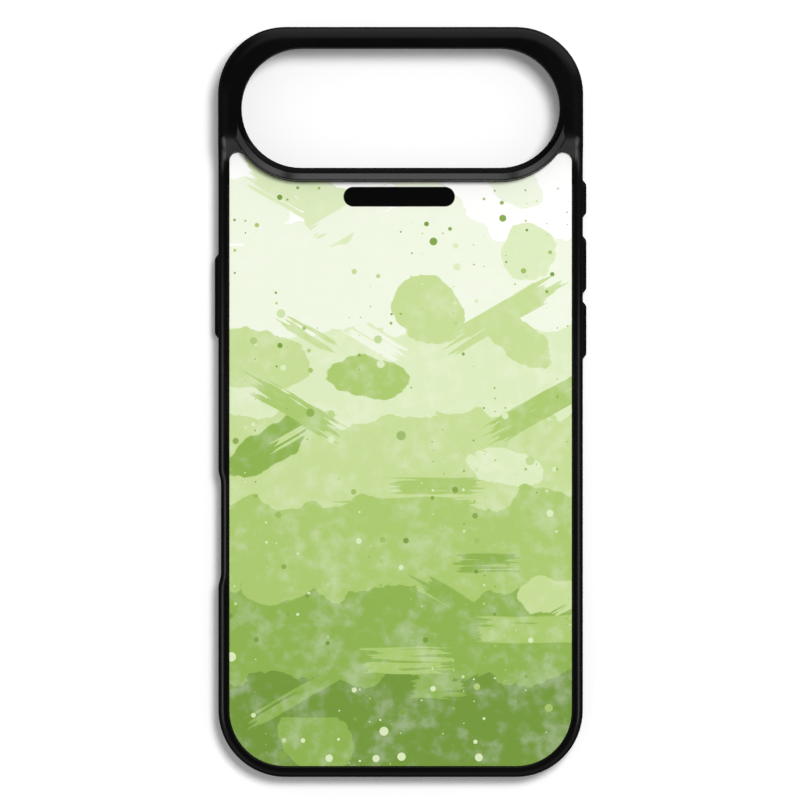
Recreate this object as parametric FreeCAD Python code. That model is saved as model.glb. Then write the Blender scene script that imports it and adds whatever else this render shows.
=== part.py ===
"""Phone case for a thin phone with a raised camera bar.

A soft moulded shell wraps the phone's back and sides. A printed panel is bonded into a recess in its
back. The camera end steps up in an S to guard the camera bar, and its lower side is a rounded bead over the
panel. Four button covers sit over the phone's keys; each one is held by a thin flexible web and travels
inwards when it is pressed.

Frame: millimetres. The case lies with its screen opening down. Z = 0 is the flat front lip that it rests
on and +Z points out of the printed back. +Y points to the camera end. +X points to the side with the
action key and the two volume keys. The origin is the centre of the case on the resting plane.
"""

import FreeCAD, Part
import math
import os

from FreeCAD import Vector

# ---- The phone that the case is moulded for
PHONE_WIDTH = 74.7
PHONE_LENGTH = 156.2
PHONE_THICKNESS = 5.64
PHONE_THICKNESS_AT_LENS = 11.32
PHONE_CORNER = 12.95

# ---- Shell
FIT_GAP = 0.05  # between the phone and the pocket's walls
WALL = 1.2
LIP_THICKNESS = 0.9
LIP_OVERHANG = 1.35  # how far the front lip laps over the edge of the screen
LIP_CHAMFER = 0.35
WEB_THICKNESS = 0.8  # the shell's own back, under the panel
BACK_EDGE_RADIUS = 1.7
FRONT_EDGE_RADIUS = 1.4
POCKET_FLOOR_RADIUS = 1.0
RIM_WIDTH = 2.25  # the shell's border round the panel, seen from the back
RIM_STANDS_PROUD = 0.25
RECESS_EASE = 0.2  # the sloping inner edge of that border

# ---- Panel stack in the back recess
ADHESIVE_THICKNESS = 0.15
PANEL_THICKNESS = 0.6
PRINT_THICKNESS = 0.06
PANEL_GAP = 0.1  # all round, between the panel and the recess
PRINT_INSET = 0.05  # the print stops this far short of the panel's edge
ADHESIVE_INSET = 0.8
EAR_RADIUS = 1.95  # the round tips of the panel, either side of the camera ring

# ---- Camera opening, a long hole with round ends, and the beaded ring round it
CAMERA_FROM_TOP = 17.17  # from the case's top end to the middle of the opening
CAMERA_HALF_STRAIGHT = 21.0
CAMERA_RADIUS = 12.66
RING_WIDTH = 2.8
LENS_GUARD = 0.35  # how far the ring stands beyond the phone's lens
RING_INNER_BEVEL = (1.15, 1.6)  # across and down
RING_CREST_FLAT = 0.1
RING_OUTER_SLOPE = (1.2, 0.75)  # across and down, over the panel

# ---- Raised camera end, level with the ring's crest and as wide as the case
END_SLOPE_START = 48.0  # along Y, where the side borders start to rise
END_SLOPE_END = 59.4
END_EDGE_RADIUS = 3.2

# ---- Openings and keys along the sides; heights are measured from the lip
SIDE_HEIGHT = 3.9  # the height of the middle of every side feature
CAMERA_KEY_MIDDLE = -26.7
CAMERA_KEY_WINDOW = (18.4, 4.4)  # length and height
CAMERA_KEY_SCOOP_DEPTH = 0.55
CAMERA_KEY_SCOOP_RUNOUT = 3.6
CHARGE_PORT = (12.8, 5.4)
SOUND_SLOT = (10.0, 2.4)
SOUND_SLOT_MIDDLE = 14.6
PORT_EASE = 0.35  # the sloping outer edge of each port and window

# ---- Button covers: name, side (-1 is -X), middle along Y, length
BUTTONS = (
    ("side_button", -1, 22.5, 16.9),
    ("action_button", 1, 43.2, 6.9),
    ("volume_up_button", 1, 29.2, 11.2),
    ("volume_down_button", 1, 15.3, 11.2),
)
COVER_HEIGHT = 3.2
COVER_PROUD = 0.78  # how far a cover stands out of the wall
COVER_EDGE_RADIUS = 0.62
KEY_POCKET_DEPTH = 0.55  # the hollow behind each cover that takes the phone's key
PIP_PROUD = 0.2  # the rib on a cover that meets the key
PIP_WIDTH = 1.2
BUTTON_WEB_WIDTH = 0.7
BUTTON_WEB_THICKNESS = 0.4
BUTTON_WEB_SUNK = 0.1  # below the wall's outer face
BUTTON_CLEARANCE = 0.12

# ---- Worked out from the above
CASE_WIDTH = PHONE_WIDTH + 2 * (FIT_GAP + WALL)
CASE_LENGTH = PHONE_LENGTH + 2 * (FIT_GAP + WALL)
CASE_CORNER = PHONE_CORNER + FIT_GAP + WALL
POCKET_BOTTOM = LIP_THICKNESS
POCKET_TOP = POCKET_BOTTOM + PHONE_THICKNESS + 2 * FIT_GAP
RECESS_FLOOR = POCKET_TOP + WEB_THICKNESS
PANEL_BOTTOM = RECESS_FLOOR + ADHESIVE_THICKNESS
PRINT_BOTTOM = PANEL_BOTTOM + PANEL_THICKNESS
RIM_TOP = PRINT_BOTTOM + PRINT_THICKNESS + RIM_STANDS_PROUD
CAMERA_Y = CASE_LENGTH / 2 - CAMERA_FROM_TOP
RING_TOP = POCKET_BOTTOM + FIT_GAP + PHONE_THICKNESS_AT_LENS + LENS_GUARD
RING_RADIUS = CAMERA_RADIUS + RING_WIDTH
WALL_OUTSIDE = CASE_WIDTH / 2
WALL_INSIDE = WALL_OUTSIDE - WALL
UP = Vector(0, 0, 1)
BEYOND = 2.0  # how far a cutting tool runs past the face that it cuts
CLOSE = 1e-4  # two heights this near count as the same


def edges_at_height(shape, z):
    """The shape's edges that lie flat at height z."""
    return [
        e
        for e in shape.Edges
        if abs(e.BoundBox.ZMin - z) < CLOSE and abs(e.BoundBox.ZMax - z) < CLOSE
    ]


def rounded_block(width, length, corner, bottom, top):
    """An upright block on the Z axis with round vertical corners."""
    block = Part.makeBox(
        width, length, top - bottom, Vector(-width / 2, -length / 2, bottom)
    )
    upright = [e for e in block.Edges if e.BoundBox.ZLength > (top - bottom) / 2]
    return block.makeFillet(corner, upright)


def s_curve(start, end, place):
    """Two equal arcs from start to end, each given as (u, v), that begin and finish along u. place turns
    a (u, v) into a point in space."""
    run = end[0] - start[0]
    rise = end[1] - start[1]
    turn = 2 * math.atan(abs(rise / run))
    radius = (run**2 + rise**2) / (4 * abs(rise))
    bend_u = math.copysign(radius * math.sin(turn / 2), run)
    bend_v = math.copysign(radius * (1 - math.cos(turn / 2)), rise)
    middle = (start[0] + run / 2, start[1] + rise / 2)
    first = Part.Arc(place(*start), place(start[0] + bend_u, start[1] + bend_v), place(*middle))
    second = Part.Arc(place(*middle), place(end[0] - bend_u, end[1] - bend_v), place(*end))
    return [first.toShape(), second.toShape()]


def round_ended_face(length, height):
    """A flat face in XY, centred on the origin, whose ends along X are half circles."""
    radius = height / 2
    half = length / 2 - radius
    outline = [
        Part.makeLine(Vector(-half, -radius, 0), Vector(half, -radius, 0)),
        Part.Arc(
            Vector(half, -radius, 0), Vector(half + radius, 0, 0), Vector(half, radius, 0)
        ).toShape(),
        Part.makeLine(Vector(half, radius, 0), Vector(-half, radius, 0)),
        Part.Arc(
            Vector(-half, radius, 0), Vector(-half - radius, 0, 0), Vector(-half, -radius, 0)
        ).toShape(),
    ]
    return Part.Face(Part.Wire(outline))


def side_bar(side, middle, length, height, inner, outer):
    """A round-ended bar lying along Y, from |X| = inner to |X| = outer, on the -X or +X side."""
    bar = round_ended_face(length, height).extrude(UP * (outer - inner))
    bar.rotate(Vector(), UP, 90)  # its length now runs along Y
    bar.rotate(Vector(), Vector(0, 1, 0), 90)  # its thickness now runs along X
    start = inner if side > 0 else -outer
    bar.translate(Vector(start, middle, SIDE_HEIGHT))
    return bar


def panel_outline(inset):
    """The flat outline of the panel's recess, drawn in by inset. Its top edge follows the camera ring and
    runs up into a round tip on each side, tangent to the ring and to the straight side."""
    half = CASE_WIDTH / 2 - RIM_WIDTH - inset
    low = -CASE_LENGTH / 2 + RIM_WIDTH + inset
    corner = CASE_CORNER - RIM_WIDTH - inset
    ring = RING_RADIUS + inset
    tip = EAR_RADIUS - inset
    ring_x, ring_y = CAMERA_HALF_STRAIGHT, CAMERA_Y
    tip_x = half - tip
    reach = ring + tip
    tip_y = ring_y - math.sqrt(reach**2 - (tip_x - ring_x) ** 2)
    to_ring = math.atan2(ring_y - tip_y, ring_x - tip_x)

    def on_tip(angle, side):
        return Vector(
            side * (tip_x + tip * math.cos(angle)), tip_y + tip * math.sin(angle), 0
        )

    def on_ring(angle, side):
        return Vector(
            side * (ring_x + ring * math.cos(angle)), ring_y + ring * math.sin(angle), 0
        )

    def on_corner(angle, side):
        return Vector(
            side * (half - corner + corner * math.cos(angle)),
            low + corner + corner * math.sin(angle),
            0,
        )

    edges = []
    for side in (1, -1):
        meet = to_ring - math.pi
        down = -math.pi / 2
        edges += [
            Part.Arc(on_corner(down, side), on_corner(down / 2, side), on_corner(0, side)).toShape(),
            Part.makeLine(on_corner(0, side), on_tip(0, side)),
            Part.Arc(on_tip(0, side), on_tip(to_ring / 2, side), on_tip(to_ring, side)).toShape(),
            Part.Arc(
                on_tip(to_ring, side), on_ring((meet + down) / 2, side), on_ring(down, side)
            ).toShape(),
        ]
    edges.append(Part.makeLine(on_ring(-math.pi / 2, 1), on_ring(-math.pi / 2, -1)))
    edges.append(Part.makeLine(on_corner(-math.pi / 2, 1), on_corner(-math.pi / 2, -1)))
    return Part.Face(Part.Wire(Part.__sortEdges__(edges)))


def panel_layer(inset, bottom, thickness):
    """One sheet of the panel stack."""
    sheet = panel_outline(inset).extrude(UP * thickness)
    sheet.translate(UP * bottom)
    return sheet


def ring_section(points, start):
    """A closed section of straight runs and arcs in the XZ plane, with X as the distance from the
    opening's edge. A point given as a pair is an arc's middle and its end."""
    edges = []
    at = start
    for point in points:
        if isinstance(point[0], tuple):
            through, end = point
            arc = Part.Arc(*(Vector(p[0], 0, p[1]) for p in (at, through, end)))
            edges.append(arc.toShape())
        else:
            end = point
            edges.append(Part.makeLine(Vector(at[0], 0, at[1]), Vector(end[0], 0, end[1])))
        at = end
    return Part.Face(Part.Wire(edges))


def quarter_arc_middle(centre, radius, degrees):
    """The point at that angle on an arc in the ring's section."""
    angle = math.radians(degrees)
    return (centre[0] + radius * math.cos(angle), centre[1] + radius * math.sin(angle))


def camera_ring():
    """The raised ring: one section swept round the long hole, as two straight runs and two half turns."""
    bevel_across, bevel_down = RING_INNER_BEVEL
    slope_across, slope_down = RING_OUTER_SLOPE
    slope_start = bevel_across + RING_CREST_FLAT
    slope_end = slope_start + slope_across
    corner = RING_WIDTH - slope_end
    slope_foot = RING_TOP - slope_down
    corner_centre = (slope_end, slope_foot - corner)
    rooted = RECESS_FLOOR  # the section starts inside the shell
    start = (0.0, rooted)
    points = [
        (0.0, RING_TOP - bevel_down),
        (bevel_across, RING_TOP),
        (slope_start, RING_TOP),
        (slope_end, slope_foot),
        (
            quarter_arc_middle(corner_centre, corner, 45),
            (RING_WIDTH, slope_foot - corner),
        ),
        (RING_WIDTH, rooted),
        start,
    ]
    section = ring_section(points, start)
    solids = []
    for end in (1, -1):
        turn = section.copy()
        turn.translate(Vector(CAMERA_RADIUS, 0, 0))
        turn.rotate(Vector(), UP, -90 if end > 0 else 90)
        half_turn = turn.revolve(Vector(), UP, 180)
        half_turn.translate(Vector(end * CAMERA_HALF_STRAIGHT, CAMERA_Y, 0))
        solids.append(half_turn)
        run = section.copy()
        run.rotate(Vector(), UP, 90 * end)
        run = run.extrude(Vector(2 * CAMERA_HALF_STRAIGHT, 0, 0))
        run.translate(Vector(-CAMERA_HALF_STRAIGHT, CAMERA_Y + end * CAMERA_RADIUS, 0))
        solids.append(run)
    return solids[0].multiFuse(solids[1:]).removeSplitter()


def camera_opening():
    """The long hole, from inside the pocket up past the ring."""
    length = 2 * (CAMERA_HALF_STRAIGHT + CAMERA_RADIUS)
    bottom = POCKET_TOP - BEYOND
    hole = round_ended_face(length, 2 * CAMERA_RADIUS).extrude(UP * (RING_TOP + BEYOND - bottom))
    hole.translate(Vector(0, CAMERA_Y, bottom))
    return hole


def pocket():
    """The space that the phone fills, with a round edge along its floor."""
    block = rounded_block(
        2 * WALL_INSIDE, CASE_LENGTH - 2 * WALL, CASE_CORNER - WALL, POCKET_BOTTOM, POCKET_TOP
    )
    return block.makeFillet(POCKET_FLOOR_RADIUS, edges_at_height(block, POCKET_TOP))


def screen_opening():
    """The hole inside the front lip, with its outer edge eased."""
    inset = WALL + LIP_OVERHANG
    block = rounded_block(
        CASE_WIDTH - 2 * inset,
        CASE_LENGTH - 2 * inset,
        CASE_CORNER - inset,
        -BEYOND,
        POCKET_BOTTOM + BEYOND,
    )
    wide = rounded_block(
        CASE_WIDTH - 2 * inset + 2 * LIP_CHAMFER,
        CASE_LENGTH - 2 * inset + 2 * LIP_CHAMFER,
        CASE_CORNER - inset + LIP_CHAMFER,
        -LIP_CHAMFER,
        LIP_CHAMFER,
    )
    wide = wide.makeChamfer(LIP_CHAMFER, edges_at_height(wide, LIP_CHAMFER))
    return block.fuse(wide)


def camera_key_scoop():
    """The shallow thumb recess beside the camera key, through the full height. Each end runs out to the
    wall's own face as an S."""
    deep = -WALL_OUTSIDE + CAMERA_KEY_SCOOP_DEPTH
    outside = -WALL_OUTSIDE - BEYOND
    half = CAMERA_KEY_WINDOW[0] / 2
    reach = half + CAMERA_KEY_SCOOP_RUNOUT

    def at(from_middle, x, end):
        return Vector(x, CAMERA_KEY_MIDDLE + end * from_middle, -BEYOND)

    edges = []
    for end in (1, -1):
        edges += s_curve((half, deep), (reach, -WALL_OUTSIDE), lambda u, v: at(u, v, end))
        edges.append(Part.makeLine(at(reach, -WALL_OUTSIDE, end), at(reach, outside, end)))
    edges.append(Part.makeLine(at(half, deep, 1), at(half, deep, -1)))
    edges.append(Part.makeLine(at(reach, outside, 1), at(reach, outside, -1)))
    face = Part.Face(Part.Wire(Part.__sortEdges__(edges)))
    return face.extrude(UP * (RING_TOP + 2 * BEYOND))


def eased_slot(length, height, depth):
    """A round-ended hole along -Z, whose mouth at Z = 0 flares out by the ease at 45 degrees."""
    slot = round_ended_face(length, height).extrude(UP * (depth + BEYOND))
    slot.translate(UP * -depth)
    flare = round_ended_face(length + 2 * PORT_EASE, height + 2 * PORT_EASE).extrude(UP * 2 * PORT_EASE)
    flare.translate(UP * -PORT_EASE)
    flare = flare.makeChamfer(PORT_EASE, edges_at_height(flare, -PORT_EASE))
    return slot.fuse(flare)


def end_slot(middle, length, height):
    """A round-ended hole through the bottom end wall."""
    slot = eased_slot(length, height, WALL + BEYOND)
    slot.rotate(Vector(), Vector(1, 0, 0), 90)  # its mouth now faces -Y
    slot.translate(Vector(middle, -CASE_LENGTH / 2, SIDE_HEIGHT))
    return slot


def camera_key_window():
    """The round-ended hole through the scoop's floor."""
    window = eased_slot(*CAMERA_KEY_WINDOW, WALL + BEYOND)
    window.rotate(Vector(), UP, 90)  # its length now runs along Y
    window.rotate(Vector(), Vector(0, 1, 0), -90)  # its mouth now faces -X
    window.translate(Vector(-WALL_OUTSIDE + CAMERA_KEY_SCOOP_DEPTH, CAMERA_KEY_MIDDLE, SIDE_HEIGHT))
    return window


def button_hole(side, middle, length):
    """The hole in the side wall that a button cover and its web fill."""
    room = 2 * (BUTTON_WEB_WIDTH + BUTTON_CLEARANCE)
    return side_bar(
        side,
        middle,
        length + room,
        COVER_HEIGHT + room,
        WALL_INSIDE - BEYOND,
        WALL_OUTSIDE + BEYOND,
    )


def button_cover(side, middle, length):
    """A stiff pad that stands out of the wall, with a rib on its inner face that meets the phone's key."""
    inner = WALL_INSIDE + KEY_POCKET_DEPTH
    outer = WALL_OUTSIDE + COVER_PROUD
    pad = side_bar(side, middle, length, COVER_HEIGHT, inner, outer)
    rim = [
        e
        for e in pad.Edges
        if abs(abs(e.BoundBox.XMin) - outer) < CLOSE and abs(abs(e.BoundBox.XMax) - outer) < CLOSE
    ]
    pad = pad.makeFillet(COVER_EDGE_RADIUS, rim)
    rib = side_bar(side, middle, length / 2, PIP_WIDTH, inner - PIP_PROUD, inner + PIP_PROUD)
    return pad.fuse(rib).removeSplitter()


def button_web(side, middle, length):
    """The thin ring of shell material that holds a cover and bends when it is pressed."""
    outer = WALL_OUTSIDE - BUTTON_WEB_SUNK
    inner = outer - BUTTON_WEB_THICKNESS
    room = 2 * (BUTTON_WEB_WIDTH + BUTTON_CLEARANCE)
    ring = side_bar(side, middle, length + room, COVER_HEIGHT + room, inner, outer)
    hole = side_bar(
        side,
        middle,
        length + 2 * BUTTON_CLEARANCE,
        COVER_HEIGHT + 2 * BUTTON_CLEARANCE,
        inner - BEYOND,
        outer + BEYOND,
    )
    return ring.cut(hole)


def recess_ease():
    """The slope round the top of the panel's recess, as far as the borders stay level."""
    tool = panel_outline(-RECESS_EASE).extrude(UP * 2 * RECESS_EASE)
    tool.translate(UP * (RIM_TOP - RECESS_EASE))
    tool = tool.makeChamfer(RECESS_EASE, edges_at_height(tool, RIM_TOP - RECESS_EASE))
    level_part = Part.makeBox(
        CASE_WIDTH,
        END_SLOPE_START + CASE_LENGTH / 2 - EAR_RADIUS,
        RING_TOP,
        Vector(-CASE_WIDTH / 2, -CASE_LENGTH / 2, 0),
    )
    return tool.common(level_part)


def side_profile():
    """The case's outline seen from the side, as a block across the full width: level along the panel, then
    up in an S to the camera end."""
    near = -CASE_LENGTH / 2 - BEYOND
    far = CASE_LENGTH / 2 + BEYOND

    def at(y, z):
        return Vector(-CASE_WIDTH / 2 - BEYOND, y, z)

    edges = [Part.makeLine(at(near, 0), at(near, RIM_TOP))]
    edges.append(Part.makeLine(at(near, RIM_TOP), at(END_SLOPE_START, RIM_TOP)))
    edges += s_curve((END_SLOPE_START, RIM_TOP), (END_SLOPE_END, RING_TOP), at)
    edges.append(Part.makeLine(at(END_SLOPE_END, RING_TOP), at(far, RING_TOP)))
    edges.append(Part.makeLine(at(far, RING_TOP), at(far, 0)))
    edges.append(Part.makeLine(at(far, 0), at(near, 0)))
    return Part.Face(Part.Wire(edges)).extrude(Vector(CASE_WIDTH + 2 * BEYOND, 0, 0))


def outer_body():
    """The shell's outside as a solid: the plan outline and the side profile, with every edge rounded. The
    raised end's own edge is rounder still."""
    body = rounded_block(CASE_WIDTH, CASE_LENGTH, CASE_CORNER, 0, RING_TOP)
    body = body.cut(camera_key_scoop()).common(side_profile())
    top_edges = [e for e in body.Edges if e.BoundBox.ZMin > RIM_TOP - CLOSE and not crosses(e)]
    body = body.makeFillet(BACK_EDGE_RADIUS, top_edges)
    body = body.makeFillet(FRONT_EDGE_RADIUS, edges_at_height(body, 0))
    rounder = rounded_block(CASE_WIDTH, CASE_LENGTH, CASE_CORNER, -BEYOND, RING_TOP)
    rounder = rounder.makeFillet(END_EDGE_RADIUS, edges_at_height(rounder, RING_TOP))
    return body.common(rounder)


def crosses(edge):
    """Whether an edge runs straight across the case, from one side to the other."""
    return edge.BoundBox.XLength > CASE_WIDTH - CLOSE and edge.BoundBox.YLength < CLOSE


def bumper_shell():
    """The one-piece soft moulding: back, walls, front lip, raised camera end and ring."""
    body = outer_body().cut(recess_ease()).fuse(camera_ring())
    cuts = [
        pocket(),
        screen_opening(),
        panel_layer(0, RECESS_FLOOR, RING_TOP - RECESS_FLOOR + BEYOND),
        camera_opening(),
        camera_key_window(),
        end_slot(0, *CHARGE_PORT),
        end_slot(SOUND_SLOT_MIDDLE, *SOUND_SLOT),
        end_slot(-SOUND_SLOT_MIDDLE, *SOUND_SLOT),
    ]
    cuts += [button_hole(side, middle, length) for _, side, middle, length in BUTTONS]
    for tool in cuts:
        body = body.cut(tool)
    return body.removeSplitter()


def all_parts():
    """Every separate piece by name."""
    parts = {
        "bumper_shell": bumper_shell(),
        "adhesive_sheet": panel_layer(
            PANEL_GAP + ADHESIVE_INSET, RECESS_FLOOR, ADHESIVE_THICKNESS
        ),
        "back_panel": panel_layer(PANEL_GAP, PANEL_BOTTOM, PANEL_THICKNESS),
        "print_layer": panel_layer(PANEL_GAP + PRINT_INSET, PRINT_BOTTOM, PRINT_THICKNESS),
    }
    for name, side, middle, length in BUTTONS:
        parts[name + "_cover"] = button_cover(side, middle, length)
        parts[name + "_web"] = button_web(side, middle, length)
    return parts


def main():
    os.makedirs("parts", exist_ok=True)
    for name, shape in all_parts().items():
        shape.exportStep(f"parts/{name}.step")
        box = shape.optimalBoundingBox(False, False)
        print(
            f"{name}: valid {shape.isValid()}, {len(shape.Solids)} solid, {shape.Volume:.1f} mm3, "
            f"{box.XLength:.2f} x {box.YLength:.2f} x {box.ZLength:.2f} mm"
        )


main()
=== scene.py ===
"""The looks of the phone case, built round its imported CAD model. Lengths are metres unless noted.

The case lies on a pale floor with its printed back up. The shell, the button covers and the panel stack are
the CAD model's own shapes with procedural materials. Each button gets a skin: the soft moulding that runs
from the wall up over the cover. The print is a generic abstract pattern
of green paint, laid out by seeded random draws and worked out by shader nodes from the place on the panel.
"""

import math
import random

import bmesh
import bpy
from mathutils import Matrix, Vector


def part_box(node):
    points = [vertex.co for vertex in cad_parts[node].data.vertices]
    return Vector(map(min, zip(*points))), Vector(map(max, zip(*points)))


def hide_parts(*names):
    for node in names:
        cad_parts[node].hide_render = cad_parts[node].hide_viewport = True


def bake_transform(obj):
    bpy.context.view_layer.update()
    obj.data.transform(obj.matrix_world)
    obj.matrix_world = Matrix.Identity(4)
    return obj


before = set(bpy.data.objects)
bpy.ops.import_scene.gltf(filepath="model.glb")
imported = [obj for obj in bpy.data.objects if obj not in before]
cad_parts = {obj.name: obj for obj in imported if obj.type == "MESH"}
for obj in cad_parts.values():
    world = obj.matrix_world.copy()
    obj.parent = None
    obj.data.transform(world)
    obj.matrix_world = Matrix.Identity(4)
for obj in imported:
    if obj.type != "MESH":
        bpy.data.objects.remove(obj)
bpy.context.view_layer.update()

MM = 0.001
SCENE = bpy.context.scene

# ---- Places read from the frame
SHELL_LOW, SHELL_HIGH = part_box("bumper_shell")
PRINT_LOW, PRINT_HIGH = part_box("print_layer")
WALL_X = SHELL_HIGH.x  # the outer face of the side walls
BUTTONS = ("side_button", "action_button", "volume_up_button", "volume_down_button")


# ---------------------------------------------------------------- shader arithmetic
class Field:
    """A number at each point of a surface. Arithmetic on fields adds Math nodes to the material."""

    def __init__(self, tree, socket):
        self.tree = tree
        self.socket = socket

    def math(self, operation, *values):
        node = self.tree.nodes.new("ShaderNodeMath")
        node.operation = operation
        for socket, value in zip(node.inputs, (self, *values)):
            feed(self.tree, socket, value)
        return Field(self.tree, node.outputs[0])

    def __add__(self, other):
        return self.math("ADD", other)

    def __sub__(self, other):
        return self.math("SUBTRACT", other)

    def __mul__(self, other):
        return self.math("MULTIPLY", other)

    def __truediv__(self, other):
        return self.math("DIVIDE", other)

    def times_add(self, factor, term):
        return self.math("MULTIPLY_ADD", factor, term)

    def low(self, other):
        return self.math("MINIMUM", other)

    def high(self, other):
        return self.math("MAXIMUM", other)

    def size(self):
        return self.math("ABSOLUTE")

    def step(self, start, end):
        """0 at start and 1 at end, with a smooth change between. start may be above end."""
        node = self.tree.nodes.new("ShaderNodeMapRange")
        node.interpolation_type = "SMOOTHSTEP"
        feed(self.tree, node.inputs["Value"], self)
        backwards = start > end
        node.inputs["From Min"].default_value = min(start, end)
        node.inputs["From Max"].default_value = max(start, end)
        node.inputs["To Min"].default_value = float(backwards)
        node.inputs["To Max"].default_value = float(not backwards)
        return Field(self.tree, node.outputs[0])


def feed(tree, socket, value):
    """Links a field or a colour socket to a node's input, or sets the input's own value."""
    if isinstance(value, Field):
        tree.links.new(value.socket, socket)
    elif isinstance(value, bpy.types.NodeSocket):
        tree.links.new(value, socket)
    else:
        socket.default_value = value


def srgb(red, green, blue):
    """A colour given as screen values from 0 to 255, as the shader's linear colour."""
    def linear(value):
        share = value / 255
        return share / 12.92 if share <= 0.04045 else ((share + 0.055) / 1.055) ** 2.4

    return (linear(red), linear(green), linear(blue), 1.0)


def position_mm(tree):
    """The position in the row frame, in millimetres, as three fields."""
    where = tree.nodes.new("ShaderNodeTexCoord").outputs["Object"]
    split = tree.nodes.new("ShaderNodeSeparateXYZ")
    tree.links.new(where, split.inputs[0])
    return [Field(tree, split.outputs[i]) / MM for i in range(3)]


def packed(tree, *values):
    """Up to three fields or numbers as one vector."""
    node = tree.nodes.new("ShaderNodeCombineXYZ")
    for socket, value in zip(node.inputs, values):
        feed(tree, socket, value)
    return node.outputs[0]


def noise(tree, u, v, w, detail=3.0):
    """Soft random variation from 0 to 1 about 0.5. One unit of u, v or w is about one blob."""
    node = tree.nodes.new("ShaderNodeTexNoise")
    tree.links.new(packed(tree, u, v, w), node.inputs["Vector"])
    node.inputs["Scale"].default_value = 1.0
    node.inputs["Detail"].default_value = detail
    return Field(tree, node.outputs[0])


def dots(tree, x, y, cell_mm, seed, smallest, largest):
    """Round drops, one to a cell, with random radii in millimetres. Returns the drops' mask, two random
    numbers for each drop, one to choose the drops by and one to colour them by, and the drop's own middle."""
    node = tree.nodes.new("ShaderNodeTexVoronoi")
    node.voronoi_dimensions = "2D"
    tree.links.new(packed(tree, x / cell_mm + seed, y / cell_mm + seed), node.inputs["Vector"])
    node.inputs["Scale"].default_value = 1.0
    node.inputs["Randomness"].default_value = 0.65
    split = tree.nodes.new("ShaderNodeSeparateColor")
    tree.links.new(node.outputs["Color"], split.inputs[0])
    chance, luck, shade = (Field(tree, split.outputs[i]) for i in range(3))
    radius = (luck * luck).times_add((largest - smallest) / cell_mm, smallest / cell_mm)
    inside = (radius - Field(tree, node.outputs["Distance"])).step(-0.012, 0.012)
    middle = tree.nodes.new("ShaderNodeSeparateXYZ")
    tree.links.new(node.outputs["Position"], middle.inputs[0])
    middle_x, middle_y = ((Field(tree, middle.outputs[i]) - seed) * cell_mm for i in range(2))
    return inside, chance, shade, (middle_x, middle_y)


def tones(tree, value, stops):
    """A colour ramp: stops are (place, colour)."""
    node = tree.nodes.new("ShaderNodeValToRGB")
    ramp = node.color_ramp
    while len(ramp.elements) < len(stops):
        ramp.elements.new(0.5)
    for element, (place, colour) in zip(ramp.elements, stops):
        element.position = place
        element.color = colour
    feed(tree, node.inputs[0], value)
    return node.outputs[0]


def over(tree, below, colour, mask):
    """Lays a colour over another where the mask is 1."""
    node = tree.nodes.new("ShaderNodeMix")
    node.data_type = "RGBA"
    feed(tree, node.inputs[0], mask)
    feed(tree, node.inputs[6], below)
    feed(tree, node.inputs[7], colour)
    return node.outputs[2]


def new_material(name, roughness, specular=0.5):
    """A material with one Principled shader. Returns the material, its node tree and the shader."""
    material = bpy.data.materials.new(name)
    material.use_nodes = True
    shader = material.node_tree.nodes["Principled BSDF"]
    shader.inputs["Roughness"].default_value = roughness
    shader.inputs["Specular IOR Level"].default_value = specular
    return material, material.node_tree, shader


def bump(tree, shader, height, depth_mm):
    """Bump from a height field whose 0 to 1 is depth_mm."""
    node = tree.nodes.new("ShaderNodeBump")
    node.inputs["Strength"].default_value = 1.0
    node.inputs["Distance"].default_value = depth_mm * MM
    feed(tree, node.inputs["Height"], height)
    tree.links.new(node.outputs[0], shader.inputs["Normal"])


# ---------------------------------------------------------------- materials of the moulding and the stack
def soft_black():
    """Satin black moulded polyurethane: a very fine moulded grain, slow changes of gloss, faint tone."""
    material, tree, shader = new_material("soft_black", 0.3, 0.32)
    x, y, z = position_mm(tree)
    slow = noise(tree, x / 14, y / 14, z / 14, detail=2)
    grain = noise(tree, x * 3, y * 3, z * 3, detail=2)
    colour = tones(tree, slow * 0.6 + grain * 0.4, [(0.3, srgb(5, 5, 5)), (0.7, srgb(8, 8, 8))])
    tree.links.new(colour, shader.inputs["Base Color"])
    gloss = slow.step(0.25, 0.75) * 0.07 + grain * 0.05 + 0.19
    feed(tree, shader.inputs["Roughness"], gloss)
    bump(tree, shader, grain, 0.0012)
    return material


def dark_sheet():
    """The panel's own dark plastic, seen only at its cut edge, with fine drawn lines."""
    material, tree, shader = new_material("dark_sheet", 0.4)
    x, y, z = position_mm(tree)
    lines = noise(tree, x * 0.8, y * 0.8, z * 20, detail=2)
    colour = tones(tree, lines, [(0.3, srgb(20, 20, 21)), (0.7, srgb(34, 34, 35))])
    tree.links.new(colour, shader.inputs["Base Color"])
    return material


def tacky_sheet():
    """The clear grey adhesive under the panel."""
    material, tree, shader = new_material("tacky_sheet", 0.45)
    x, y, z = position_mm(tree)
    cloud = noise(tree, x / 6, y / 6, z, detail=3)
    colour = tones(tree, cloud, [(0.3, srgb(196, 196, 190)), (0.7, srgb(222, 222, 216))])
    tree.links.new(colour, shader.inputs["Base Color"])
    return material


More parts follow.
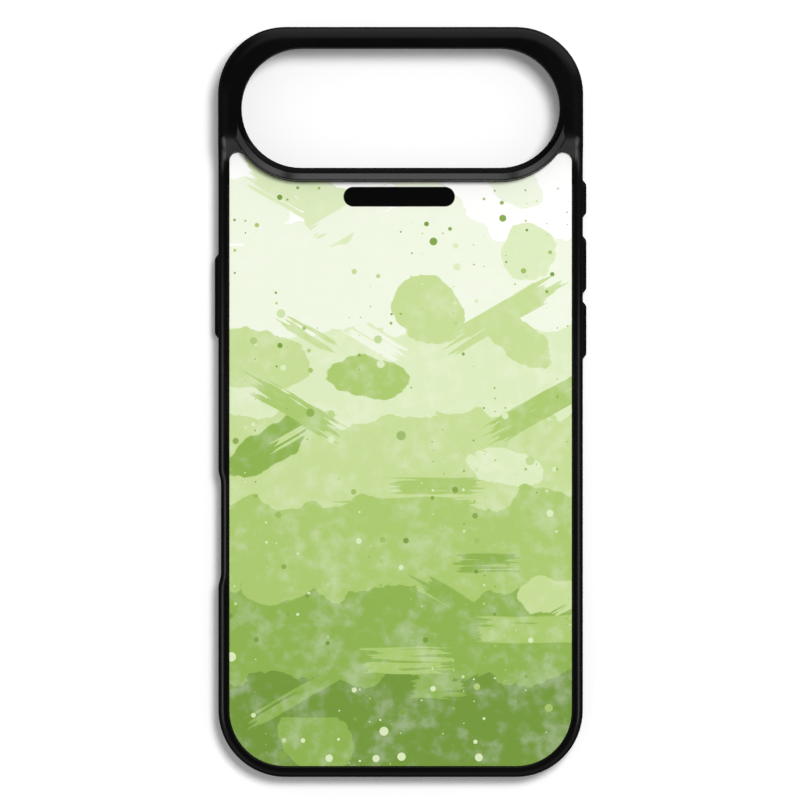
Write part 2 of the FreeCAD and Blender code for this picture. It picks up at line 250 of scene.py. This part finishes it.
# ---------------------------------------------------------------- the print
PRINT_TOP = PRINT_HIGH.y / MM
PRINT_LENGTH = (PRINT_HIGH.y - PRINT_LOW.y) / MM
PRINT_SIDE = PRINT_HIGH.x / MM
EDGE = 0.09  # how softly a printed edge changes, in millimetres
SHARPNESS = 33.0  # how fast a bristle mark turns from bare to solid
WHITE = (254, 254, 252)
INK = (6, 6, 6)
GREENS = (  # from the palest to the deepest
    (238, 245, 224),
    (220, 235, 190),
    (198, 220, 150),
    (172, 202, 112),
    (144, 180, 82),
    (118, 154, 62),
)
BRISTLE_DEGREES = (-30, 0, 30)  # the ways that the dry strokes run
BRISTLE_RUN_MM = 15
BRISTLE_STREAK_MM = 0.8
BAND_WANDER_MM = 14
PATCH_COUNT = 26
PATCH_SEED = 21
PATCH_HALF_LENGTHS = (5, 12)
PATCH_HALF_WIDTHS = (3, 7)
PATCH_TURNS = (-40, 40)
PATCH_WOBBLE_MM = 2.6
STROKE_COUNT = 22
STROKE_SEED = 34
STROKE_HALF_LENGTHS = (7, 16)
STROKE_HALF_WIDTHS = (0.8, 3.2)
STROKE_COVERS = (0.02, 0.2)
GREEN_STRAY = 1.6  # how many greens a shape may differ by from its band
THIN_PAINT_SHARE = 0.2
DROP_KINDS = (  # the cell's size, a seed, the least and largest radius, the part of the cells that hold one
    (2.2, 3, 0.12, 0.34, 0.3),
    (5.2, 9, 0.4, 1.0, 0.55),
)
LABEL = (-0.3, 43.5)  # the middle of the plain dark label, and its size
LABEL_HALF_LENGTH = 11.8
LABEL_RADIUS = 2.1

TERMS = ("along_x", "along_y", "along_0", "across_x", "across_y", "across_0")
WASH_NUMBERS = ("x", "y", "slow", "fast", *TERMS, "slow_share", "fast_share", "fall", "level")
STROKE_NUMBERS = ("x", "y", "bristles", *TERMS, "level", "side_fall", "side_level")


def placing(centre, half, degrees):
    """The six numbers that turn x and y into a shape's own coordinates, from -1 to 1 between its ends."""
    cos, sin = math.cos(math.radians(degrees)), math.sin(math.radians(degrees))
    x, y = centre
    return (
        cos / half[0], sin / half[0], -(x * cos + y * sin) / half[0],
        -sin / half[1], cos / half[1], (x * sin - y * cos) / half[1],
    )


def own_coordinates(x, y, terms):
    """Coordinates along and across a shape."""
    along = x.times_add(terms[0], y.times_add(terms[1], terms[2]))
    across = x.times_add(terms[3], y.times_add(terms[4], terms[5]))
    return along, across


def painting_group(name, numbers, mask_of):
    """A node group that lays a paint over the colour below, by a mask worked out from its numbers."""
    tree = bpy.data.node_groups.new(name, "ShaderNodeTree")
    for label in numbers:
        tree.interface.new_socket(label, in_out="INPUT", socket_type="NodeSocketFloat")
    for label in ("below", "paint"):
        tree.interface.new_socket(label, in_out="INPUT", socket_type="NodeSocketColor")
    tree.interface.new_socket("colour", in_out="OUTPUT", socket_type="NodeSocketColor")
    entry = tree.nodes.new("NodeGroupInput")
    mask = mask_of({label: Field(tree, entry.outputs[label]) for label in numbers})
    colour = over(tree, entry.outputs["below"], entry.outputs["paint"], mask)
    tree.links.new(colour, tree.nodes.new("NodeGroupOutput").inputs[0])
    return tree


def wash_mask(n):
    """A flat patch with a wandering edge."""
    along, across = own_coordinates(n["x"], n["y"], [n[term] for term in TERMS])
    circle = along.times_add(along, across * across).math("SQRT")
    reach = n["slow"].times_add(n["slow_share"], n["fast"].times_add(n["fast_share"], circle))
    return reach.times_add(n["fall"], n["level"]).low(1.0)


def stroke_mask(n):
    """A dry stroke: bristles inside a bar, fraying towards both ends."""
    along, across = own_coordinates(n["x"], n["y"], [n[term] for term in TERMS])
    fray = (along.size() - 0.55).high(0.0)
    paint = n["bristles"].times_add(SHARPNESS, fray.times_add(-0.6 * SHARPNESS, n["level"]))
    side = across.size() + n["bristles"] * 0.6
    return paint.low(side.times_add(n["side_fall"], n["side_level"])).low(1.0)


class Pattern:
    """A flat pattern built up in layers. Places and sizes are millimetres from the middle of the case, and
    colours are screen values from 0 to 255."""

    def __init__(self, tree, x, y):
        self.tree = tree
        self.colour = srgb(*WHITE)
        self.groups = {
            "wash": painting_group("wash", WASH_NUMBERS, wash_mask),
            "stroke": painting_group("stroke", STROKE_NUMBERS, stroke_mask),
        }
        self.slow = noise(tree, x / 9, y / 9, 3.1, detail=3) - 0.5
        self.fast = noise(tree, x / 2.6, y / 2.6, 8.7, detail=3) - 0.5
        self.bristles = {}
        for degrees in BRISTLE_DEGREES:
            terms = placing((0, 0), (BRISTLE_RUN_MM, BRISTLE_STREAK_MM), degrees)
            along, across = own_coordinates(x, y, terms)
            self.bristles[degrees] = noise(tree, along, across, degrees, detail=2)
        self.drops = [self.scattered(x, y, *kind) for kind in DROP_KINDS]
        # a hand's slight unsteadiness, in every shape below
        self.x = self.slow.times_add(0.12, x)
        self.y = self.fast.times_add(0.05, y)

    def scattered(self, x, y, cell_mm, seed, smallest, largest, share):
        """Whole drops in uneven groups over the whole print. Returns their mask and their shades."""
        inside, chance, shade, (mx, my) = dots(self.tree, x, y, cell_mm, seed, smallest, largest)
        group = (mx / 5 + seed).math("SINE") * (my / 7 + mx / 9).math("SINE")
        wanted = group.step(-0.5, 0.6) * share
        return inside * (wanted - chance).step(-0.01, 0.01), shade

    def lay(self, colour, mask):
        """Lays a colour where the mask is 1."""
        paint = srgb(*colour) if isinstance(colour, tuple) else colour
        self.colour = over(self.tree, self.colour, paint, mask)

    def lay_group(self, kind, colour, centre, half, degrees, **numbers):
        """Lays a colour by one of the painting groups."""
        node = self.tree.nodes.new("ShaderNodeGroup")
        node.node_tree = self.groups[kind]
        feed(self.tree, node.inputs["below"], self.colour)
        node.inputs["paint"].default_value = srgb(*colour)
        numbers.update(zip(TERMS, placing(centre, half, degrees)), x=self.x, y=self.y)
        for label, value in numbers.items():
            feed(self.tree, node.inputs[label], value)
        self.colour = node.outputs[0]

    def wash(self, colour, centre, half, degrees, wobble):
        """A flat patch of thin paint, whose edge wanders by about wobble millimetres."""
        size = min(half)
        sharp = size / (2 * EDGE)
        self.lay_group(
            "wash", colour, centre, half, degrees, slow=self.slow, fast=self.fast,
            slow_share=wobble * 1.6 / size, fast_share=wobble * 0.6 / size, fall=-sharp, level=sharp + 0.5,
        )

    def stroke(self, colour, centre, half, degrees, cover):
        """A stroke of a dry brush. A cover of 0.2 is almost solid, and 0 is half bare."""
        sharp = half[1] / (2 * EDGE)
        self.lay_group(
            "stroke", colour, centre, half, degrees, bristles=self.bristles[degrees],
            level=(cover - 0.5) * SHARPNESS + 0.5, side_fall=-sharp, side_level=sharp * 1.3 + 0.5,
        )


def green_near(chance, y):
    """A green close to the one that the bands have at this height."""
    depth = (PRINT_TOP - y) / PRINT_LENGTH * len(GREENS)
    place = round(depth - 0.5 + chance.uniform(-GREEN_STRAY, GREEN_STRAY))
    return GREENS[min(max(place, 0), len(GREENS) - 1)]


def somewhere(chance):
    """A random place on the print."""
    return chance.uniform(-PRINT_SIDE, PRINT_SIDE), PRINT_TOP - chance.random() * PRINT_LENGTH


def bands(pattern):
    """Level bands of even height with wandering edges, each a deeper green than the one before."""
    for i, green in enumerate(GREENS):
        level = PRINT_TOP - (i + 1) * PRINT_LENGTH / (len(GREENS) + 1)
        above = pattern.slow.times_add(BAND_WANDER_MM, pattern.y - level)
        pattern.lay(green, above.step(EDGE, -EDGE))


def patches(pattern):
    """Patches of flat paint strewn over the bands."""
    chance = random.Random(PATCH_SEED)
    for _ in range(PATCH_COUNT):
        centre = somewhere(chance)
        half = (chance.uniform(*PATCH_HALF_LENGTHS), chance.uniform(*PATCH_HALF_WIDTHS))
        green = green_near(chance, centre[1])
        pattern.wash(green, centre, half, chance.uniform(*PATCH_TURNS), PATCH_WOBBLE_MM)


def dry_strokes(pattern):
    """Strokes of a dry brush strewn over the patches."""
    chance = random.Random(STROKE_SEED)
    for _ in range(STROKE_COUNT):
        centre = somewhere(chance)
        half = (chance.uniform(*STROKE_HALF_LENGTHS), chance.uniform(*STROKE_HALF_WIDTHS))
        degrees = chance.choice(BRISTLE_DEGREES)
        green = green_near(chance, centre[1])
        pattern.stroke(green, centre, half, degrees, chance.uniform(*STROKE_COVERS))


def thin_paint(pattern):
    """Soft paler clouds where the paint is thinner, over all the layers so far."""
    pattern.lay(WHITE, (pattern.slow + pattern.fast).step(-0.1, 0.4) * THIN_PAINT_SHARE)


def loose_drops(pattern):
    """Pale and deep drops spattered over the whole print."""
    for mask, shade in pattern.drops:
        stops = [(place, srgb(*GREENS[i])) for place, i in ((0.2, 1), (0.5, 3), (1, 5))]
        green = tones(pattern.tree, shade, stops)
        pattern.lay(green, mask)


def dark_label(pattern):
    """A plain dark label under the camera opening, with nothing on it."""
    dx = ((pattern.x - LABEL[0]).size() - (LABEL_HALF_LENGTH - LABEL_RADIUS)).high(0.0)
    dy = pattern.y - LABEL[1]
    reach = (dx * dx + dy * dy).math("SQRT")
    pattern.lay(INK, reach.step(LABEL_RADIUS + EDGE, LABEL_RADIUS - EDGE))


def print_material():
    """The whole print: an abstract pattern of bands, patches, dry strokes and drops, and the label."""
    material, tree, shader = new_material("printed_pattern", 0.4, 0.12)
    x, y, _ = position_mm(tree)
    pattern = Pattern(tree, x, y)
    bands(pattern)
    patches(pattern)
    dry_strokes(pattern)
    thin_paint(pattern)
    loose_drops(pattern)
    dark_label(pattern)
    tree.links.new(pattern.colour, shader.inputs["Base Color"])
    return material


# ---------------------------------------------------------------- button skins
PAD_HALF_HEIGHT = 1.6 * MM  # half the height of every cover
SKIN_REACH = 0.82 * MM  # from a cover's edge to the edge of its hole in the wall
SKIN_ROUND = 0.6 * MM  # how far in from a cover's edge its flat top starts
SKIN_OVER_COVER = 0.02 * MM
SKIN_DEPTH = 0.5 * MM  # how far the skin reaches below the wall's face
SKIN_TUCK = 0.3 * MM  # how far the skin's underside runs in under the cover's edge
SLOPE_STEPS = 14
ARC_STEPS = 20
STRAIGHT_STEPS = 14


def long_loop(half_straight, radius):
    """Points round a long shape with half-circle ends, as (along, up)."""
    points = []
    for end in (1, -1):
        for i in range(STRAIGHT_STEPS):
            points.append((end * half_straight * (2 * i / STRAIGHT_STEPS - 1), -end * radius))
        for i in range(ARC_STEPS):
            angle = math.radians(-90 * end) + math.pi * i / ARC_STEPS
            points.append((end * half_straight + radius * math.cos(angle), radius * math.sin(angle)))
    return points


def button_skin(button):
    """The soft skin over one button: flush with the wall at its edge, rising in an S to the pad's top."""
    low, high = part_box(button + "_cover")
    side = 1 if high.x > 0 else -1
    top = max(abs(low.x), abs(high.x)) - WALL_X + SKIN_OVER_COVER
    middle = (low + high) / 2
    half_straight = (high.y - low.y) / 2 - PAD_HALF_HEIGHT
    profile = []  # (distance out from the cover's edge, height above the wall)
    for i in range(SLOPE_STEPS + 1):
        share = i / SLOPE_STEPS
        out = SKIN_REACH - share * (SKIN_REACH + SKIN_ROUND)
        profile.append((out, top * share * share * (3 - 2 * share)))
    under = [(-SKIN_TUCK, top * 0.5), (-SKIN_TUCK, -SKIN_DEPTH), (SKIN_REACH, -SKIN_DEPTH)]
    mesh = bmesh.new()
    rings = []
    for out, height in under + profile:
        loop = long_loop(half_straight, PAD_HALF_HEIGHT + out)
        ring = [
            mesh.verts.new((side * (WALL_X + height), middle.y + along, middle.z + up))
            for along, up in loop
        ]
        rings.append(ring)
    count = len(rings[0])
    for inner, outer in zip(rings, rings[1:]):
        for i in range(count):
            j = (i + 1) % count
            mesh.faces.new((inner[i], inner[j], outer[j], outer[i]))
    mesh.faces.new(rings[0])
    mesh.faces.new(rings[-1])
    bmesh.ops.recalc_face_normals(mesh, faces=mesh.faces)
    for face in mesh.faces:
        face.smooth = True
    data = bpy.data.meshes.new(button + "_skin")
    mesh.to_mesh(data)
    mesh.free()
    data.set_sharp_from_angle(angle=math.radians(50))
    skin = bpy.data.objects.new(button + "_skin", data)
    SCENE.collection.objects.link(skin)
    return skin, side, top


# ---------------------------------------------------------------- putting it together
def set_material(piece, material):
    """Gives every material slot of a piece one material, on the object and not on its mesh."""
    if not piece.material_slots:
        piece.data.materials.append(material)
    for slot in piece.material_slots:
        slot.link = "OBJECT"
        slot.material = material


def dress_case():
    """Materials for the CAD nodes, and a skin for each button."""
    black = soft_black()
    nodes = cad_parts
    set_material(nodes["bumper_shell"], black)
    set_material(nodes["back_panel"], dark_sheet())
    set_material(nodes["adhesive_sheet"], tacky_sheet())
    set_material(nodes["print_layer"], print_material())
    for button in BUTTONS:
        set_material(nodes[button + "_cover"], black)
        skin, side, top = button_skin(button)
        set_material(skin, black)
        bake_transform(skin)
        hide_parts(button + "_web")


# ---------------------------------------------------------------- floor, light and camera
VIEW_WIDTH = 0.16925  # how much the picture takes in across, at the case's back
LENS_MM = 300
SENSOR_MM = 36
AIM = Vector((-0.13 * MM, 0.49 * MM, 0))
ROOM_LIGHT = 0.35  # the part of the light that comes from all round
FLOOR_HALF = 6.0
FLOOR_GLOW = 0.09
FLOOR_GAP = 0.02 * MM  # below the case's lip


def floor():
    """A plain white floor. It is left out of reflections, so the moulding's edges stay dark against it."""
    data = bpy.data.meshes.new("floor")
    corners = [(x * FLOOR_HALF, y * FLOOR_HALF, 0) for x, y in ((-1, -1), (1, -1), (1, 1), (-1, 1))]
    data.from_pydata(corners, [], [(0, 1, 2, 3)])
    plane = bpy.data.objects.new("floor", data)
    SCENE.collection.objects.link(plane)
    plane.location.z = SHELL_LOW.z - FLOOR_GAP
    plane.visible_glossy = False
    material, _, shader = new_material("floor", 0.9, 0.0)
    shader.inputs["Base Color"].default_value = (1, 1, 1, 1)
    shader.inputs["Emission Color"].default_value = (1, 1, 1, 1)
    shader.inputs["Emission Strength"].default_value = FLOOR_GLOW
    data.materials.append(material)


def area_light(name, place, aim, across, deep, watts, only_gloss=False, spread=180):
    """A soft rectangular light. It lights surfaces, or else it only shows in their reflections."""
    data = bpy.data.lights.new(name, "AREA")
    data.shape = "RECTANGLE"
    data.size = across
    data.size_y = deep
    data.energy = watts
    data.spread = math.radians(spread)
    light = bpy.data.objects.new(name, data)
    light.location = place
    light.rotation_euler = (Vector(aim) - Vector(place)).to_track_quat("-Z", "Y").to_euler()
    light.visible_glossy = only_gloss
    light.visible_diffuse = not only_gloss
    light.visible_camera = False
    SCENE.collection.objects.link(light)


def studio():
    """A nearly overhead key from the upper right, low strips that show as gloss on the bead under the camera
    opening and on the side rims, and a plain room that the moulding's gloss sees as soft panels."""
    area_light("key", (0.2, 0.235, 1.17), (0, 0, 0), 0.28, 0.28, 10.2)
    for name, x, height, across, deep, watts in (
        ("left", -0.083, 0.047, 0.08, 0.042, 0.014),
        ("mid", 0, 0.042, 0.062, 0.028, 0.006),
        ("right", 0.083, 0.047, 0.08, 0.042, 0.014),
    ):
        place = (x, -0.012, height)
        aim = (x, 0.047, 0.012)
        area_light("bead_" + name, place, aim, across, deep, watts, only_gloss=True, spread=110)
    for name, side in (("left", -1), ("right", 1)):
        place = (side * 0.16, -0.04, 0.09)
        aim = (side * 0.038, -0.04, 0.007)
        area_light("rim_" + name, place, aim, 0.12, 0.06, 0.009, only_gloss=True, spread=80)
    world = bpy.data.worlds.new("room")
    SCENE.world = world
    world.use_nodes = True
    tree = world.node_tree
    where = tree.nodes.new("ShaderNodeTexCoord").outputs["Generated"]
    split = tree.nodes.new("ShaderNodeSeparateXYZ")
    tree.links.new(where, split.inputs[0])
    right, away, up = (Field(tree, split.outputs[i]) for i in range(3))
    low = up.step(-0.15, 0.1) * up.step(0.92, 0.6)
    sides = right.size().step(0.3, 0.8) * low * away.step(0.2, -0.4) * 0.34
    rear_height = up.step(-0.7, -0.2) * up.step(0.97, 0.7)
    rear = away.step(0.2, 0.6) * rear_height * right.step(-0.65, -0.1) * 0.6
    front = away.step(-0.4, -0.9) * low * 0.25
    gloss = sides + rear + front + 0.05
    seen_in_gloss = Field(tree, tree.nodes.new("ShaderNodeLightPath").outputs["Is Glossy Ray"])
    strength = seen_in_gloss.times_add(gloss - ROOM_LIGHT, ROOM_LIGHT)
    tree.links.new(strength.socket, tree.nodes["Background"].inputs["Strength"])
    tree.nodes["Background"].inputs["Color"].default_value = (1, 1, 1, 1)


def camera():
    """A long lens straight above the case, with the camera end at the top of the picture."""
    data = bpy.data.cameras.new("camera")
    data.lens = LENS_MM
    data.sensor_width = SENSOR_MM
    data.clip_end = 50
    distance = VIEW_WIDTH * LENS_MM / SENSOR_MM
    eye = bpy.data.objects.new("camera", data)
    eye.location = AIM + Vector((0, 0, PRINT_HIGH.z + distance))
    SCENE.collection.objects.link(eye)
    SCENE.camera = eye


SCENE.view_settings.view_transform = "Standard"
camera()
floor()
studio()
dress_case()
